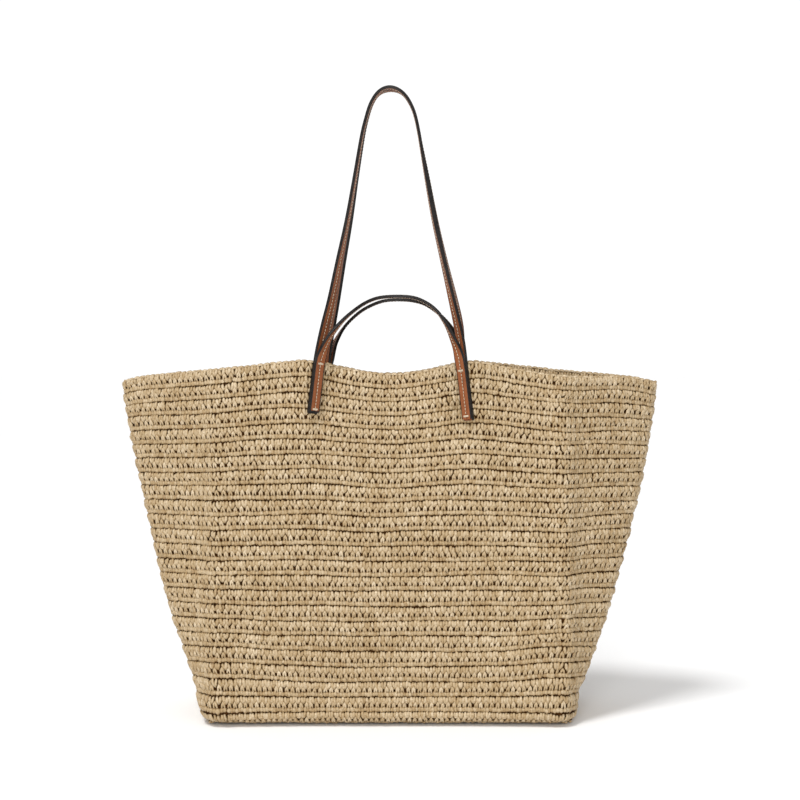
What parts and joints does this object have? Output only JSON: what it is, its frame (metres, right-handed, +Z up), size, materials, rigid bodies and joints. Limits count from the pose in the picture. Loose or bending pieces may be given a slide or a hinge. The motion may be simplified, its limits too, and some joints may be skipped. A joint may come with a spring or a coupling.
{
  "type": "beach bag",
  "caption": "Crocheted straw beach tote, flat base flaring to a wide open mouth, with short leather hand straps and long leather shoulder straps.",
  "frame": {"origin": "centre of the underside of the base", "axes": "+Z up, +X along the width of the mouth, -Y out of the front face"},
  "size_m": [0.5632, 0.1592, 0.661],
  "materials": {
    "straw_walls": "crocheted paper straw, natural",
    "straw_base": "crocheted paper straw, natural",
    "strap_leather": "smooth tan leather with dark painted edges",
    "strap_lining": "smooth tan leather with dark painted edges",
    "patch_leather": "plain tan leather",
    "thread": "waxed cream sewing thread"
  },
  "bodies": {
    "bag": {"base_panel": "straw_base", "front_left_hand_end_lining": "strap_lining", "front_left_hand_end_outer": "strap_leather", "front_left_shoulder_end_lining": "strap_lining", "front_left_shoulder_end_outer": "strap_leather", "front_left_tab_patch": "patch_leather", "front_left_tab_thread": "thread", "front_right_hand_end_lining": "strap_lining", "front_right_hand_end_outer": "strap_leather", "front_right_shoulder_end_lining": "strap_lining", "front_right_shoulder_end_outer": "strap_leather", "front_right_tab_patch": "patch_leather", "front_right_tab_thread": "thread", "front_wall": "straw_walls", "left_gusset": "straw_walls", "rear_left_hand_end_lining": "strap_lining", "rear_left_hand_end_outer": "strap_leather", "rear_left_shoulder_end_lining": "strap_lining", "rear_left_shoulder_end_outer": "strap_leather", "rear_left_tab_patch": "patch_leather", "rear_left_tab_thread": "thread", "rear_right_hand_end_lining": "strap_lining", "rear_right_hand_end_outer": "strap_leather", "rear_right_shoulder_end_lining": "strap_lining", "rear_right_shoulder_end_outer": "strap_leather", "rear_right_tab_patch": "patch_leather", "rear_right_tab_thread": "thread", "rear_wall": "straw_walls", "right_gusset": "straw_walls"},
    "front_hand_strap": {"front_hand_strap_outer": "strap_leather", "front_hand_strap_lining": "strap_lining"},
    "front_shoulder_strap": {"front_shoulder_strap_outer": "strap_leather", "front_shoulder_strap_lining": "strap_lining"},
    "rear_hand_strap": {"rear_hand_strap_outer": "strap_leather", "rear_hand_strap_lining": "strap_lining"},
    "rear_shoulder_strap": {"rear_shoulder_strap_outer": "strap_leather", "rear_shoulder_strap_lining": "strap_lining"}
  },
  "joints": [
    {"name": "front_hand_strap_fold", "type": "hinge", "parent": "bag", "child": "front_hand_strap", "pos_m": [0, -0.07227, 0.37415], "axis": [1, 0, 0], "range_deg": [0, 140]},
    {"name": "front_shoulder_strap_fold", "type": "hinge", "parent": "bag", "child": "front_shoulder_strap", "pos_m": [0, -0.05604, 0.43], "axis": [1, 0, 0], "range_deg": [0, 135]},
    {"name": "rear_hand_strap_fold", "type": "hinge", "parent": "bag", "child": "rear_hand_strap", "pos_m": [0, 0.07227, 0.37415], "axis": [-1, 0, 0], "range_deg": [0, 140]},
    {"name": "rear_shoulder_strap_fold", "type": "hinge", "parent": "bag", "child": "rear_shoulder_strap", "pos_m": [0, 0.05604, 0.43], "axis": [-1, 0, 0], "range_deg": [0, 135]}
  ]
}
